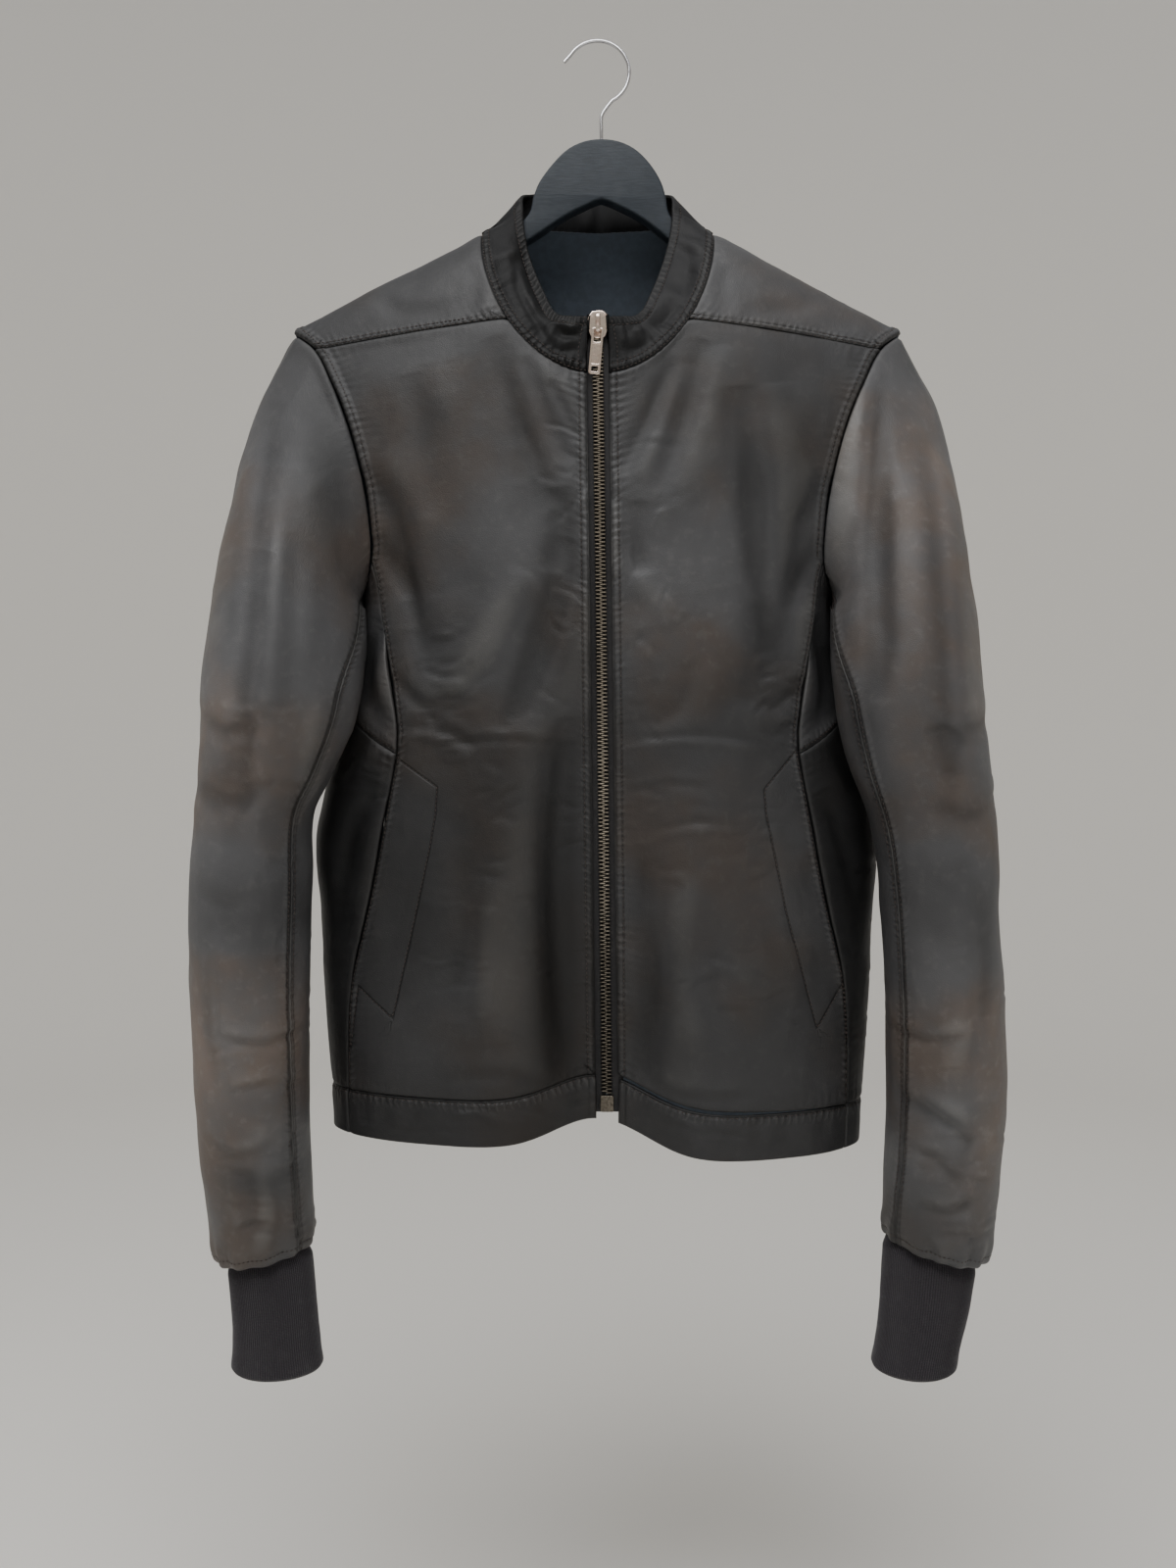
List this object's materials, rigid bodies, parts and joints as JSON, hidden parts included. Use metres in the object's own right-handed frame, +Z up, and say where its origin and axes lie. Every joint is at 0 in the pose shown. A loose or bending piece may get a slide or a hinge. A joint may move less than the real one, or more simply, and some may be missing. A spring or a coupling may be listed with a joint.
{
  "type": "leather zip jacket on a clothes hanger",
  "caption": "Worn dark leather zip jacket with stand collar, side-seam pockets and knitted cuffs, hanging zipped up on a black wooden hanger with a wire hook.",
  "frame": {"origin": "inside top of the hanger's wire hook, where it rests on a rail or peg", "axes": "+Z up along the hanging jacket, -Y out of the zipped front, +X towards the jacket's left sleeve, which is on the right seen from the front"},
  "size_m": [0.5202, 0.1512, 0.8866],
  "materials": {
    "leather": "worn semi-matt",
    "dark_leather": "matt",
    "rib_knit": "matt rib",
    "lining": "smooth twill",
    "zip_tape": "woven",
    "zip_metal": "antique",
    "slider_metal": "polished, pinkish nickel",
    "hook_wire": "polished",
    "hanger_wood": "matt black paint"
  },
  "bodies": {
    "jacket": {"hanger_body": "hanger_wood", "hanger_hook": "hook_wire", "back": "leather", "collar": "leather", "neck_lining": "lining", "front_l": "leather", "front_r": "leather", "underarm_l": "dark_leather", "underarm_r": "dark_leather", "side_l": "dark_leather", "side_r": "dark_leather", "pocket_facing_l": "dark_leather", "pocket_facing_r": "dark_leather", "sleeve_upper_l": "leather", "sleeve_upper_r": "leather", "sleeve_under_l": "leather", "sleeve_under_r": "leather", "cuff_l": "rib_knit", "cuff_r": "rib_knit", "hem_front_l": "leather", "hem_front_r": "leather", "hem_back": "leather", "zip_tape_l": "zip_tape", "zip_tape_r": "zip_tape", "zip_chain": "zip_metal", "zip_end_box": "zip_metal", "zip_slider": "slider_metal"},
    "pull_tab": {"zip_pull_tab": "slider_metal"}
  },
  "joints": [
    {"name": "pull_tab_hinge", "type": "hinge", "parent": "jacket", "child": "pull_tab", "pos_m": [0, -0.05031, -0.21055], "axis": [0.9962, 0, -0.0872], "range_deg": [-150, 0]}
  ]
}
